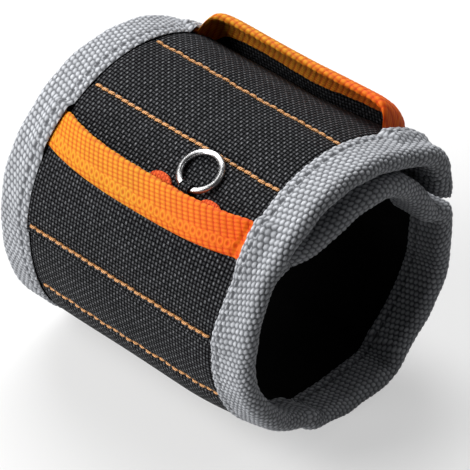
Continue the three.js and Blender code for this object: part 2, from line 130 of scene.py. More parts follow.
def make_piece(name, points, faces, uv=None, sharp=60, **values):
    """A mesh object from points in millimetres and arrays of faces, each array with one number of corners. The faces
    turn round if the enclosed volume comes out negative. uv is in millimetres; values are point attributes."""
    points = np.asarray(points, float).reshape(-1, 3)
    volume = 0.0
    for group in faces:
        for k in range(1, group.shape[1] - 1):
            a, b, c = points[group[:, 0]], points[group[:, k]], points[group[:, k + 1]]
            volume += np.einsum("ij,ij->", a, np.cross(b, c))
    if volume < 0:
        faces = [group[:, ::-1] for group in faces]
    corners = np.concatenate([group.ravel() for group in faces]).astype(np.int32)
    sizes = np.concatenate([np.full(len(group), group.shape[1]) for group in faces])
    mesh = bpy.data.meshes.new(name)
    mesh.vertices.add(len(points))
    mesh.vertices.foreach_set("co", (points * 0.001).astype(np.float32).ravel())
    mesh.loops.add(len(corners))
    mesh.loops.foreach_set("vertex_index", corners)
    mesh.polygons.add(len(sizes))
    mesh.polygons.foreach_set("loop_start", (np.cumsum(sizes) - sizes).astype(np.int32))
    mesh.polygons.foreach_set("use_smooth", np.ones(len(sizes), bool))
    mesh.update(calc_edges=True)
    if uv is not None:
        layer = mesh.uv_layers.new(name="cloth")
        layer.data.foreach_set("uv", np.asarray(uv, np.float32).reshape(-1, 2)[corners].ravel())
    for key, value in values.items():
        attribute = mesh.attributes.new(key, "FLOAT", "POINT")
        attribute.data.foreach_set("value", np.asarray(value, np.float32).ravel())
    mesh.set_sharp_from_angle(angle=math.radians(sharp))
    piece = bpy.data.objects.new(name, mesh)
    bpy.context.scene.collection.objects.link(piece)
    return piece


def add_node(tree, kind, inputs=None, **settings):
    """One shader node with its settings; inputs are plain values, or sockets that get linked."""
    node = tree.nodes.new("ShaderNode" + kind)
    for key, value in settings.items():
        setattr(node, key, value)
    for key, value in (inputs or {}).items():
        if isinstance(value, bpy.types.NodeSocket):
            tree.links.new(value, node.inputs[key])
        else:
            node.inputs[key].default_value = value
    return node


def calc(tree, operation, first, second=0.0):
    """One step of arithmetic between sockets or numbers."""
    return add_node(tree, "Math", {0: first, 1: second}, operation=operation).outputs[0]


def spread(tree, value, low, high):
    """Stretches a socket of 0 to 1 over low to high."""
    return add_node(tree, "MapRange", {"Value": value, "To Min": low, "To Max": high}).outputs[0]


def two_colours(tree, share, first, second):
    """A colour between two, by a socket of 0 to 1."""
    node = add_node(tree, "Mix", {0: share, 6: (*first, 1), 7: (*second, 1)}, data_type="RGBA")
    return node.outputs[2]


def start_material(name, **shader):
    """A new material with one main shader; shader gives that shader's constant sockets by name."""
    material = bpy.data.materials.new(name)
    material.use_nodes = True
    tree = material.node_tree
    tree.nodes.clear()
    main = add_node(tree, "BsdfPrincipled", {key.replace("_", " "): value for key, value in shader.items()})
    add_node(tree, "OutputMaterial", {"Surface": main.outputs[0]})
    return material, tree, main


def noise(tree, place, scale, detail):
    """A cloudy pattern of about 0 to 1 over a map."""
    return add_node(tree, "TexNoise", {"Vector": place, "Scale": scale, "Detail": detail}).outputs[0]


def bumped(tree, height, strength, depth, **settings):
    """A normal that follows a height socket; depth is in metres."""
    return add_node(tree, "Bump", {"Height": height, "Strength": strength, "Distance": depth}, **settings).outputs[0]


def feed(tree, main, **sockets):
    """Links sockets to the main shader's inputs, by the inputs' names."""
    for key, value in sockets.items():
        tree.links.new(value, main.inputs[key.replace("_", " ")])


def foam_finish():
    """Dark grey foam: fine closed cells from a cell pattern, darker in the cells' hollows as painted shade, with a
    cloudy change of tone.
    """
    material, tree, main = start_material("foam", Roughness=0.92, Specular_IOR_Level=0.2)
    place = add_node(tree, "TexCoord").outputs["Object"]
    cells = add_node(tree, "TexVoronoi", {"Vector": place, "Scale": 2600.0}).outputs["Distance"]
    cloud = noise(tree, place, 90.0, 4.0)
    colour = two_colours(tree, calc(tree, "MULTIPLY", cells, cloud), (0.03, 0.031, 0.033), (0.075, 0.076, 0.078))
    feed(tree, main, Base_Color=colour, Normal=bumped(tree, cells, 0.6, 0.0002))
    return material


def cut_foam(name, start, end):
    """A slab on a grid of cells whose lines follow the windows' edges. Cells inside a window are left out, and each
    line between a kept cell and a missing one gets a wall from the top to the bottom."""
    rows = [row for row in magnet_rows if start < row < end]
    along = [np.linspace(start, end, int((end - start) / 2.2))]
    along += [np.array([row - window_half_length, row + window_half_length]) for row in rows]
    across = [np.linspace(-foam_half_width, foam_half_width, 25)]
    across += [np.array([at - window_half_width, at + window_half_width]) for at in magnet_columns]
    along, across = (np.unique(np.round(np.concatenate(lines), 3)) for lines in (along, across))
    mid_along = (along[1:] + along[:-1]) / 2
    mid_across = (across[1:] + across[:-1]) / 2
    in_row = np.any([np.abs(mid_along - row) < window_half_length for row in rows] or [mid_along < -99], axis=0)
    in_column = np.any([np.abs(mid_across - at) < window_half_width for at in magnet_columns], axis=0)
    kept = np.pad(~(in_row[:, None] & in_column[None, :]), 1)
    count = len(along) * len(across)
    index = np.arange(count).reshape(len(along), len(across))
    inside = kept[1:-1, 1:-1]
    top = grid_faces(len(along), len(across))[inside.ravel()]
    faces = [top, top[:, ::-1] + count]
    for beside, a, b in ((kept[:-2, 1:-1], index[:-1, 1:], index[:-1, :-1]),
                         (kept[2:, 1:-1], index[1:, :-1], index[1:, 1:]),
                         (kept[1:-1, :-2], index[:-1, :-1], index[1:, :-1]),
                         (kept[1:-1, 2:], index[1:, 1:], index[:-1, 1:])):
        a, b = a[inside & ~beside], b[inside & ~beside]
        faces.append(np.stack([b, a, a + count, b + count], axis=-1))
    along, across = grid_of(along, across)
    across = across * (1 - drawn_back(along) / foam_half_width)
    points = np.concatenate([on_band(along, across, face).reshape(-1, 3) for face in (foam_top, foam_bottom)])
    used, places = np.unique(np.concatenate([group.ravel() for group in faces]), return_inverse=True)
    cuts = np.cumsum([group.size for group in faces])[:-1]
    faces = [part.reshape(-1, 4) for part in np.split(places.ravel(), cuts)]
    return make_piece(name, points[used], faces, sharp=40)


foam = foam_finish()
for body, start, end in (("flap", 0.5, stitch_c - 0.5), ("base", stitch_c + 0.5, wall_fold - 0.5),
                         ("wall", wall_fold + 0.5, band_length - 0.5)):
    pad = cut_foam(f"foam_{body}", start, end)
    pad.data.materials.append(foam)
    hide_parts(f"core_{body}")
    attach(pad, body)


# Magnets
# Fifteen flat plates of pressed magnet alloy, plated with nickel, three in each of five sewn channels.
# They sit in the windows of the foam, so only their pull shows from outside.

def nickel_finish():
    """Satin nickel: a fine tumbled grain in the roughness and a faint cloudy stain in the colour."""
    material, tree, main = start_material("nickel plating", Metallic=1.0)
    place = add_node(tree, "TexCoord").outputs["Object"]
    colour = two_colours(tree, noise(tree, place, 240.0, 5.0), (0.42, 0.42, 0.42), (0.62, 0.61, 0.59))
    grain = noise(tree, place, 5200.0, 2.0)
    feed(tree, main, Base_Color=colour, Roughness=spread(tree, grain, 0.2, 0.42),
         Normal=bumped(tree, grain, 0.15, 0.00005))
    return material


nickel = nickel_finish()
for row in range(1, 6):
    for column in range(1, 4):
        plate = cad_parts[f"magnet_{row}_{column}"]
        plate.data.materials.clear()
        plate.data.materials.append(nickel)


# Lining
# The soft black cloth against the wrist, cut as one strip and sewn through with the outer cloth. It is
# shown in two lengths that meet at the lowest stitch line, each bending over one fold of the band.

lining_face, lining_thickness, cloth_half_width = -2.1, 0.6, 42.0
flap_fold_middle, flap_fold_way, flap_fold_half = np.array([-40.613, 0.0, 49.425]), np.array([0.34, 0.0, 0.94]), 5.5
wall_fold_middle, wall_fold_way, wall_fold_half = np.array([36.02, 0.0, 18.707]), np.array([0.2, 0.0, 0.98]), 12.0


def bend_with_fold(piece, body):
    """Bakes the piece's placement into its points. The fold between the base and the flap or the wall is looked up for
    the body, its middle, a straight way through it and a half width, but no bend is made."""
    middle, way, half = {"flap": (flap_fold_middle, flap_fold_way, flap_fold_half),
                         "wall": (wall_fold_middle, wall_fold_way, wall_fold_half)}[body]
    way = way / np.linalg.norm(way)
    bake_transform(piece)


def cloth_sheet(name, front, back, step, uv, **values):
    """A closed sheet: a fine front grid, a back grid that keeps one point in step, and a rim of triangles that fans
    from each edge of the back to the front edges beside it. uv, a pair of grids, and values belong to the front."""
    back, uv = back[::step, ::step], np.stack(uv, axis=-1)
    rows, columns = front.shape[:2]
    few_rows, few_columns = back.shape[:2]
    count = rows * columns
    front_index = np.arange(count).reshape(rows, columns)
    back_index = count + np.arange(few_rows * few_columns).reshape(few_rows, few_columns)

    def round_edge(index):
        return np.concatenate([index[:-1, 0], index[-1, :-1], index[:0:-1, -1], index[0, :0:-1]])

    fine, coarse = round_edge(front_index), round_edge(back_index)
    after = np.roll(coarse, -1)
    first = np.arange(len(coarse)) * step
    half = (step + 1) // 2
    rim = [np.stack([fine[(first + half) % len(fine)], coarse, after], axis=-1)]
    for k in range(step):
        to = coarse if k < half else after
        rim.append(np.stack([fine[(first + k + 1) % len(fine)], fine[first + k], to], axis=-1))
    faces = [grid_faces(rows, columns), grid_faces(few_rows, few_columns, count)[:, ::-1], np.concatenate(rim)]
    points = np.concatenate([front.reshape(-1, 3), back.reshape(-1, 3)])
    uv = np.concatenate([uv.reshape(-1, 2), uv[::step, ::step].reshape(-1, 2)])
    values = {key: np.concatenate([value.ravel(), value[::step, ::step].ravel()]) for key, value in values.items()}
    return make_piece(name, points, faces, uv, **values)


def steps(start, end, spacing, multiple):
    """Even places from start to end, about spacing apart, their number of gaps a multiple of a whole number."""
    gaps = max(1, round((end - start) / spacing / multiple)) * multiple
    return np.linspace(start, end, gaps + 1)


def lining_finish():
    """Black knitted lining: rows of small stitches as a bump, and tones that hardly leave black, a little darker as
    painted shade in the grooves between the stitches.
    """
    material, tree, main = start_material("lining", Roughness=0.95, Specular_IOR_Level=0.08)
    uv = add_node(tree, "UVMap", uv_map="cloth").outputs[0]
    loops = add_node(tree, "TexVoronoi", {"Vector": uv, "Scale": 1.4, "Randomness": 0.25}).outputs["Distance"]
    feed(tree, main, Base_Color=two_colours(tree, loops, (0.0045, 0.0045, 0.005), (0.002, 0.002, 0.0022)),
         Normal=bumped(tree, loops, 0.5, 0.0002, invert=True))
    return material


lining = lining_finish()
quilt_lines = np.array([stitch_b, stitch_a, stitch_c, stitch_d, stitch_e])
for body, start, end, nodes in (("flap", 0.4, stitch_e, ("lining_flap", "lining_base")),
                                ("wall", stitch_e, band_length - 0.4, ("lining_wall",))):
    along, across = grid_of(steps(start, end, 0.7, 2), steps(-cloth_half_width, cloth_half_width, 0.9, 2))
    nearest = np.abs(along[..., None] - quilt_lines).min(axis=-1)
    inside = 1 - ease(np.abs(across), 31, 33)
    drawn = 0.35 * np.exp(-(nearest / 1.3) ** 2) * inside
    face = lining_face + drawn + 0.15 * (1 - inside)
    across = across * (1 - drawn_back(along) / cloth_half_width)
    sheet = cloth_sheet(f"lining_cloth_{body}", on_band(along, across, face),
                        on_band(along, across, face + lining_thickness), 2, (along, across))
    sheet.data.materials.append(lining)
    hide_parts(*nodes)
    bend_with_fold(sheet, body)


# Outer cloth
# Black ballistic nylon in a coarse plain weave, one strip from the flap's tip to the inner end. Lines of
# heavy thread quilt it to the lining, so it is drawn in along them and swells over the foam between.

shell_face, shell_thickness, yarn_pitch, needle_pitch = 2.1, 0.6, 1.07, 2.4


def quilted_height(along, across):
    """Height of the outer cloth: flat, plus a low arch between neighbouring stitch lines, less a bell along each line
    that is deepest at the needle holes, plus short puckers beside the lines and a slow wave of the whole cloth."""
    inside = 1 - ease(np.abs(across), 31, 34)
    lines = np.concatenate([[6.0], quilt_lines])
    share = np.interp(along, lines, np.arange(len(lines)))
    arch = np.where((along > lines[0]) & (along < lines[-1]), np.abs(np.sin(np.pi * share)), 0)
    away = along[..., None] - quilt_lines
    nearest = np.abs(away).min(axis=-1)
    holes = 0.78 + 0.22 * np.cos(2 * np.pi * across / needle_pitch)
    bell = np.exp(-(nearest / 1.15) ** 2) * holes
    pucker = np.exp(-(nearest / 5.0) ** 2) * np.sin(2 * np.pi * across / 8.4 + 0.21 * along)
    wave = np.sin(2 * np.pi * across / 41 + along / 19) * np.sin(2 * np.pi * along / 53)
    return shell_face + inside * (0.42 * arch - 0.85 * bell + 0.12 * pucker + 0.12 * wave) - 0.25 * (1 - inside)


def woven(tree, pitch):
    """A plain weave on the cloth's own map: in every other square the yarn along the band is on top, in the rest the
    yarn across it. A yarn's height is a sine across it, lower towards both ends of its square."""
    uv = add_node(tree, "UVMap", uv_map="cloth").outputs[0]
    squares = add_node(tree, "VectorMath", {0: uv, "Scale": 1 / pitch}, operation="SCALE").outputs[0]
    parts = add_node(tree, "SeparateXYZ", {0: squares}).outputs
    one, two = (calc(tree, "ABSOLUTE", calc(tree, "SINE", calc(tree, "MULTIPLY", parts[k], math.pi)))
                for k in (0, 1))
    turn = add_node(tree, "TexChecker", {"Vector": squares, "Scale": 1.0}).outputs["Fac"]
    over = calc(tree, "MULTIPLY", one, spread(tree, two, 0.35, 1.0))
    under = calc(tree, "MULTIPLY", two, spread(tree, one, 0.35, 1.0))
    height = add_node(tree, "Mix", {0: turn, 2: over, 3: under}).outputs[0]
    whole = add_node(tree, "VectorMath", {0: squares}, operation="FLOOR").outputs[0]
    chance = add_node(tree, "TexWhiteNoise", {"Vector": whole}, noise_dimensions="2D").outputs["Value"]
    return uv, height, turn, chance


def ballistic_finish():
    """Black nylon: holes between the yarns made dark with painted shade, and a dull gleam on the crowns of the yarns
    across the band and less on the others, in the gloss and also as a painted highlight in the colour, no two quite
    alike, and a faint greying where the cloth is rubbed."""
    material, tree, main = start_material("ballistic cloth")
    uv, height, turn, chance = woven(tree, yarn_pitch)
    # The crowns' share: it sets the gloss, and in the colour below it is a painted highlight.
    crown = calc(tree, "POWER", height, 1.6)
    lively = calc(tree, "MULTIPLY", crown, spread(tree, chance, 0.6, 1.0))
    lively = calc(tree, "MULTIPLY", lively, spread(tree, turn, 0.5, 1.0))
    yarn = two_colours(tree, noise(tree, uv, 0.06, 3.0), (0.046, 0.048, 0.056), (0.072, 0.075, 0.085))
    # Painted shade and highlight: the colour runs from near black in the holes to the yarn tone on the brightest
    # crowns.
    colour = add_node(tree, "Mix", {0: lively, 6: (0.0008, 0.0008, 0.0010, 1), 7: yarn}, data_type="RGBA").outputs[2]
    relief = calc(tree, "ADD", height, calc(tree, "MULTIPLY", noise(tree, uv, 7.0, 2.0), 0.12))
    feed(tree, main, Base_Color=colour, Roughness=spread(tree, lively, 0.85, 0.36),
         Specular_IOR_Level=spread(tree, lively, 0.0, 1.0), Normal=bumped(tree, relief, 1.0, 0.00042))
    return material


ballistic = ballistic_finish()
for body, start, end, nodes in (("flap", 0.4, stitch_e, ("shell_flap", "shell_base")),
                                ("wall", stitch_e, band_length - 0.4, ("shell_wall",))):
    along, across = grid_of(steps(start, end, 0.45, 3), steps(-cloth_half_width, cloth_half_width, 0.5, 3))
    face = quilted_height(along, across)
    across = across * (1 - drawn_back(along) / cloth_half_width)
    sheet = cloth_sheet(f"outer_cloth_{body}", on_band(along, across, face),
                        on_band(along, across, np.minimum(face, 2.0) - shell_thickness), 3, (along, across))
    sheet.data.materials.append(ballistic)
    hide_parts(*nodes)
    bend_with_fold(sheet, body)


# Pocket panels
# Two patches of the same black cloth, sewn down along the lower edge and caught under the binding at
# both ends. Cut with some slack, they stand off the band at the open upper edge.

field_half, panel_thickness, panel_half_width, panel_rest = 32.7, 0.6, 36.0, 2.35
pockets = {"side": dict(mouth=73.5, depth=28.75, end=1.135, bulge=3.6, sag=3.1, full=3),
           "flap": dict(mouth=23.5, depth=-18.0, end=1.0, bulge=7.2, sag=0.0, full=18)}


def pocket_surface(pocket, share, across):
    """Place along the band and height of a pocket's underside. share goes from 0 at the mouth to 1 at the seam. The
    slack, 1 less a power of |y / half|, lets the mouth sag towards the seam and bulge by the square of a cosine."""
    slack = 1 - np.clip(np.abs(across) / field_half, 0, 1) ** pocket["full"]
    way = np.sign(pocket["depth"])
    along = pocket["mouth"] + pocket["depth"] * share + way * pocket["sag"] * slack * np.clip(1 - share, 0, 1)
    drape = 0.22 * slack * np.sin(across / 5.1 + 3.0 * share) * np.sin(np.pi * np.clip(share, 0, 1)) * way
    seam = 0.45 * np.exp(-((along - stitch_c) / 1.1) ** 2) * (slack > 0)
    height = panel_rest + pocket["bulge"] * slack * np.cos(np.pi * np.clip(share, 0, 1) / 2) ** 2 + drape - seam
    return along, height


for place, pocket in pockets.items():
    share, across = grid_of(steps(0, pocket["end"], 0.45 / abs(pocket["depth"]), 3),
                            steps(-panel_half_width, panel_half_width, 0.5, 3))
    along, height = pocket_surface(pocket, share, across)
    under = on_band(along, across, height)
    panel = cloth_sheet(f"pocket_panel_cloth_{place}", on_band(along, across, height + panel_thickness), under, 3,
                        (along + 0.4, across))
    panel.data.materials.append(ballistic)
    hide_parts(f"pocket_panel_{place}")
    if place == "side":
        bend_with_fold(panel, "flap")
    else:
        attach(panel, "flap")


# Stitch lines
# Five rows of heavy copper-orange bonded thread, lock-stitched right through the band across its width.
# They close the channels that hold the magnets, and the rows at the pocket hold its lower edge too.

stitch_length, thread_radius, row_half_width = 2.5, 0.42, 32.4


def tube_faces(count, rings, sides):
    """The faces of a row of closed tubes: quads from ring to ring, and a cap on the first and the last ring."""
    index = np.arange(count * rings * sides).reshape(count, rings, sides)
    ahead = np.roll(index, -1, axis=2)
    quads = np.stack([index[:, :-1], index[:, 1:], ahead[:, 1:], ahead[:, :-1]], axis=-1).reshape(-1, 4)
    return [quads, np.concatenate([index[:, 0], index[:, -1, ::-1]])]


def thread_tubes(middle, reach, side, lift, radius, rings=9, sides=8):
    """A row of stitches. Each is a tube round an arch: its middle line runs along reach for -1 to 1 and rises by
    (1 - t2) times the lift at the middle; the tube is full along most of its length and narrow at its sunk ends."""
    t = np.linspace(-1, 1, rings)
    round_it = np.arange(sides) * 2 * np.pi / sides
    thin = radius * np.sqrt(np.maximum(1 - t ** 6, 0.08))
    line = middle[:, None, :] + reach[:, None, :] * t[None, :, None]
    line = line + lift[:, None, :] * (1 - t ** 2)[None, :, None]
    up = lift / np.linalg.norm(lift, axis=-1, keepdims=True)
    out = (side[:, None, None, :] * np.cos(round_it)[None, None, :, None]
           + up[:, None, None, :] * np.sin(round_it)[None, None, :, None])
    points = line[:, :, None, :] + out * thin[None, :, None, None]
    uv = np.broadcast_to(np.stack(grid_of(t, round_it / (2 * np.pi)), axis=-1), (len(middle), rings, sides, 2))
    return points, tube_faces(len(middle), rings, sides), uv


def thread_finish(name, deep, light):
    """Bonded thread: plies that wind round it, with slanted dark lines of painted shade between them, a lighter crown
    of painted highlight on each and a waxy gleam.
    """
    material, tree, main = start_material(name, Roughness=0.42, Specular_IOR_Level=0.45)
    uv = add_node(tree, "UVMap", uv_map="cloth").outputs[0]
    parts = add_node(tree, "SeparateXYZ", {0: uv}).outputs
    wound = calc(tree, "ADD", calc(tree, "MULTIPLY", parts[0], 2.2), calc(tree, "MULTIPLY", parts[1], 2.0))
    ply = calc(tree, "ABSOLUTE", calc(tree, "SINE", calc(tree, "MULTIPLY", wound, math.pi)))
    feed(tree, main, Base_Color=two_colours(tree, ply, deep, light), Normal=bumped(tree, ply, 0.7, 0.0001))
    return material


# Deep and light tones of the thread: painted shade between the plies and a painted highlight on their crowns.
copper_thread = thread_finish("copper thread", (0.13, 0.040, 0.010), (0.76, 0.38, 0.14))
for name, line, body in (("b", stitch_b, "flap"), ("a", stitch_a, "flap"), ("c", stitch_c, "fold"),
                         ("d", stitch_d, "base"), ("e", stitch_e, "base")):
    across = np.arange(-row_half_width, row_half_width, needle_pitch) + needle_pitch / 2
    wander = 0.10 * np.sin(across * 0.7) + 0.08 * np.sin(across * 1.9 + 1)
    height = quilted_height(np.full_like(across, line), across) + 0.1
    if name == "c":
        height = np.full_like(across, panel_rest + panel_thickness - 0.35)
    middle = on_band(line + wander, across, height)
    reach = on_band(line + wander + 0.16, across + stitch_length / 2, height) - middle
    out = on_band(line, across, height + 1) - on_band(line, across, height)
    ahead = on_band(line + 0.5, across, height) - on_band(line - 0.5, across, height)
    points, faces, uv = thread_tubes(middle, reach, ahead, out * 0.42, thread_radius)
    row = make_piece(f"stitch_row_{name}", points, faces, uv)
    row.data.materials.append(copper_thread)
    if body == "fold":
        bend_with_fold(row, "flap")
    else:
        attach(row, body)


# Mouth tapes
# A bright orange ribbed tape is folded in half over each pocket's mouth, with one leg inside. Slanting ribs cross
# it, each a row of small beads, and a chain of coarse stitches along its lower third sews it to the panel.

tape_width, inner_width, tape_thickness, rib_pitch, bead_pitch, chain_pitch = 9.6, 9.6, 0.55, 1.85, 0.96, 1.95


def scatter(one, two):
    """A repeatable share of 0 to 1 for each pair of whole numbers: the fraction of a large sine."""
    return np.modf(np.abs(np.sin(one * 12.9898 + two * 78.233) * 43758.5453))[0]


def yarn_relief(across_yarns, along_yarns):
    """Height, 0 to 1, of a plain weave whose coordinates count yarns. Each long yarn is round across, and its middle
    goes up and down as a cosine, up in every other square, so its knots lie staggered. The crossing yarn shows low
    between."""
    column, pick = np.floor(across_yarns), np.floor(along_yarns)
    side, end = 2 * (across_yarns - column) - 1, 2 * (along_yarns - pick) - 1
    long_yarn = 0.6 * np.cos(np.pi * (along_yarns - 0.5 + column)) + np.sqrt(1 - side ** 2)
    cross_yarn = -0.6 * np.cos(np.pi * (across_yarns - 0.5 + pick)) + 0.62 * np.sqrt(1 - end ** 2) - 0.25
    uneven = 0.84 + 0.16 * scatter(column, pick)
    return np.clip(np.maximum(long_yarn, cross_yarn) / 1.6, 0, 1) * uneven


def tape_finish(name, deep, body, crown, gleam, fuzz, near_shade=(1, 1, 1)):
    """Woven tape coloured by its own relief: painted shade deep in the gaps, the full colour on the yarns and a painted
    highlight lighter on their crowns, with fine fibres as a bump. Towards the near end of its map the colour is
    multiplied by a tone of painted shade."""
    material, tree, main = start_material(name, Roughness=0.62, Specular_IOR_Level=gleam, Sheen_Weight=fuzz,
                                          Sheen_Roughness=0.5)
    relief = add_node(tree, "Attribute", attribute_name="relief").outputs["Fac"]
    # Painted shade and highlight: the ramp darkens the gaps and lightens the crowns by the relief.
    ramp = add_node(tree, "ValToRGB", {0: relief})
    colours = ramp.color_ramp.elements
    colours[0].position, colours[0].color = 0.12, (*deep, 1)
    colours[1].position, colours[1].color = 0.95, (*crown, 1)
    middle = colours.new(0.5)
    middle.color = (*body, 1)
    uv = add_node(tree, "UVMap", uv_map="cloth").outputs[0]
    fibres, cloud = noise(tree, uv, 5.5, 3.0), noise(tree, uv, 0.12, 3.0)
    place = add_node(tree, "SeparateXYZ", {0: uv}).outputs[1]
    # Painted shade: near runs from 0 at the far end to 1 at the near end, where the colour is deepened by the shade
    # tone.
    near = add_node(tree, "MapRange", {"Value": place, "From Min": 2.0, "From Max": -32.0}).outputs[0]
    near_shaded = add_node(tree, "Mix", {0: near, 6: ramp.outputs[0], 7: (*near_shade, 1)}, data_type="RGBA", blend_type="MULTIPLY")
    tone = add_node(tree, "HueSaturation", {"Value": spread(tree, cloud, 0.86, 1.12), "Color": near_shaded.outputs[2]})
    feed(tree, main, Base_Color=tone.outputs[0], Normal=bumped(tree, fibres, 0.35, 0.00012))
    return material


def ribbed(width, across):
    """The tape's relief, 0 to 1. Ribs slant across it, round in section, each beaded along its length by the size of a
    sine. In a strip from 58 to 84 % of the width lies a chain of thread: oval links, each higher on its rim."""
    rib_place = (across + 0.68 * width) / rib_pitch
    rib = np.sqrt(np.maximum(1 - (2 * (rib_place - np.floor(rib_place)) - 1) ** 2, 0))
    bead = np.abs(np.sin(np.pi * (width - 0.14 * across) / bead_pitch))
    weave = rib * (0.38 + 0.62 * bead) * (0.9 + 0.1 * scatter(np.floor(rib_place), np.floor(width / bead_pitch)))
    link_place = (across + 0.3 * width) / chain_pitch
    link_side, link_end = 2 * (link_place - np.floor(link_place)) - 1, (width - 0.71 * tape_width) / 1.25
    from_middle = np.hypot(link_side, link_end)
    chain = 1 - ease(np.abs(link_end), 0.8, 1.0)
    rim, hollow = np.exp(-((from_middle - 0.72) / 0.26) ** 2), np.exp(-(from_middle / 0.3) ** 2)
    thread = np.clip(0.45 + 0.5 * rim - 0.2 * hollow, 0, 1)
    return weave * (1 - chain) + thread * chain, chain


# Orange tape: the deep and crown tones are painted shade in the gaps and a painted highlight on the crowns; the last
# tone is painted shade towards the near end.
orange = tape_finish("orange tape", (0.40, 0.045, 0.002), (0.56, 0.158, 0.007), (0.64, 0.285, 0.016), 0.15, 0.02,
                     near_shade=(1.25, 0.51, 0.34))
for place, pocket in pockets.items():
    width, across = grid_of(steps(-inner_width, tape_width, 0.17, 4),
                            steps(-panel_half_width, panel_half_width, 0.18, 4))
    relief, chain = ribbed(width, across)
    fold = np.clip(width / 0.9, -1, 1) * np.pi / 2
    way = np.sign(pocket["depth"])
    along, height = pocket_surface(pocket, np.clip(np.abs(width) - 0.9, 0, None) / abs(pocket["depth"]), across)
    slack = 1 - np.clip(np.abs(across) / field_half, 0, 1) ** pocket["full"]
    end_away = np.minimum(width + inner_width, tape_width - width)
    full = np.sqrt(np.clip(1 - (1 - np.clip(end_away / 0.7, 0, 1)) ** 2, 0, 1))
    under = np.where(width < 0, 0.15 + 0.85 * slack, 1.0) * (1 - 0.55 * ease(np.abs(across), 31.5, 33.2))
    thick = 0.1 + full * under * (tape_thickness + 0.24 * relief + 0.12 * chain)
    half = panel_thickness / 2
    front = on_band(along - way * (half + thick) * np.cos(fold), across,
                    height + half + (half + thick) * np.sin(fold))
    back = on_band(along - way * (half + 0.02) * np.cos(fold), across, height + half + (half + 0.02) * np.sin(fold))
    tape = cloth_sheet(f"mouth_tape_{place}", front, back, 4, (width, across), relief=relief)
    tape.data.materials.append(orange)
    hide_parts(f"pocket_tape_{place}")
    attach(tape, "flap")


# Utility ring and its tab
# A closed ring of polished steel wire in the mouth of the side pocket. A tab of red-orange tape with two rounded
# ears is sewn behind the mouth, and a sleeve of black cloth between them goes round the wire and lets it tip.

ring_pivot = np.array([-27.093, -11.5, 78.206])
ring_lean = np.array([0.910136, 0.0, 0.414311])
ring_across = np.array([0.0, -1.0, 0.0])
ring_radius, wire_radius = 5.7, 0.85
tab_up, tab_out = np.array([0.731714, 0.0, 0.681612]), np.array([-0.681612, 0.0, 0.731714])
tab_half, ear_middle, ear_half, ear_top, tab_foot, tab_back = 12.6, 8.6, 3.9, 0.5, -6.0, -1.3
tab_yarn, sleeve_half, sleeve_run = 0.8, 1.5, 1.75


def chrome_finish():
    """Polished wire: bright metal with fine handling marks in the roughness."""
    material, tree, main = start_material("polished wire", Metallic=1.0)
    place = add_node(tree, "TexCoord").outputs["Object"]
    marks = noise(tree, place, 900.0, 6.0)
    feed(tree, main, Base_Color=two_colours(tree, marks, (0.42, 0.42, 0.43), (0.64, 0.64, 0.64)),
         Roughness=spread(tree, marks, 0.22, 0.42))
    return material


def closed_tube(name, centre, one, two, radius, thickness, around=112, sides=22):
    """A ring: a small circle of the wire carried round a large circle that lies in the plane of the two directions."""
    turn = np.arange(around) * 2 * np.pi / around
    small = np.arange(sides) * 2 * np.pi / sides
    out = np.cos(turn)[:, None] * one + np.sin(turn)[:, None] * two
    axis = np.cross(one, two)
    points = (centre + out[:, None, :] * (radius + thickness * np.cos(small))[None, :, None]
              + axis * (thickness * np.sin(small))[None, :, None])
    index = np.arange(around * sides).reshape(around, sides)
    ahead, beside = np.roll(index, -1, axis=0), np.roll(index, -1, axis=1)
    quads = np.stack([index, ahead, np.roll(ahead, -1, axis=1), beside], axis=-1).reshape(-1, 4)
    return make_piece(name, points, [quads])


ring = closed_tube("utility_ring", ring_pivot + ring_lean * ring_radius, ring_across, ring_lean, ring_radius,
                   wire_radius)
ring.data.materials.append(chrome_finish())
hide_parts("ring")
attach(ring, "ring")

# Red tape: the deep and crown tones are painted shade in the gaps and a painted highlight on the crowns.
red = tape_finish("red tape", (0.26, 0.016, 0.001), (0.72, 0.085, 0.008), (0.94, 0.17, 0.035), 0.2, 0.02)


def on_tab(across, up, out):
    """Points of the tab: across along the ring's axle, up along the pocket's face and out from it, from the pivot."""
    across, up, out = np.broadcast_arrays(across, up, out)
    return (ring_pivot + across[..., None] * ring_across + up[..., None] * tab_up + out[..., None] * tab_out)


across, up = grid_of(np.linspace(-tab_half, tab_half, 161), np.linspace(0, 1, 41))
on_ear = np.clip((np.abs(across) - ear_middle) / ear_half, -1, 1)
top = np.where(np.abs(on_ear) < 1, ear_top - ear_half * (1 - np.sqrt(1 - on_ear ** 2)) * 0.8, ear_top - 0.8 * ear_half)
top = np.where(np.abs(across) < ear_middle - ear_half, -1.35, top)
rise = tab_foot + (top - tab_foot) * up
weave = yarn_relief(across / tab_yarn + 40, rise / tab_yarn + 40)
puff = 0.3 * np.sqrt(1 - on_ear ** 2) * ease(rise, -3, 0)
tab = cloth_sheet("ring_tab_tape", on_tab(across, rise, tab_back + 0.62 + 0.16 * weave + puff),
                  on_tab(across, rise, tab_back), 4, (across, rise), relief=weave)
tab.data.materials.append(red)
across, turn = grid_of(np.linspace(-sleeve_half, sleeve_half, 17), np.radians(np.linspace(-80, 260, 81)))
weave = yarn_relief(across / tab_yarn + 40, turn * sleeve_run / tab_yarn + 40)
outer, inner = 1.64 + 0.14 * weave, 1.3
sleeve = cloth_sheet("ring_sleeve", on_tab(across, outer * np.sin(turn), outer * np.cos(turn)),
                     on_tab(across, inner * np.sin(turn), inner * np.cos(turn)), 4, (across, turn * sleeve_run),
                     relief=weave)
sleeve.data.materials.append(ballistic)
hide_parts("ring_tab")
for piece in (tab, sleeve):
    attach(piece, "flap")


# Hook and loop patches
# The closure: a strip of moulded nylon hooks under the flap's end and a longer strip of brushed loops on the
# wall beneath it. Both are sewn to the band along their edges.

hook_start, hook_end, loop_start, loop_end, patch_half_width = 5.6, 29.4, 247.7, 309.5, 31.9
pile_half_width, pile_row_pitch, pile_column_pitch, pile_thread_radius = 30.6, 1.35, 1.4, 0.11


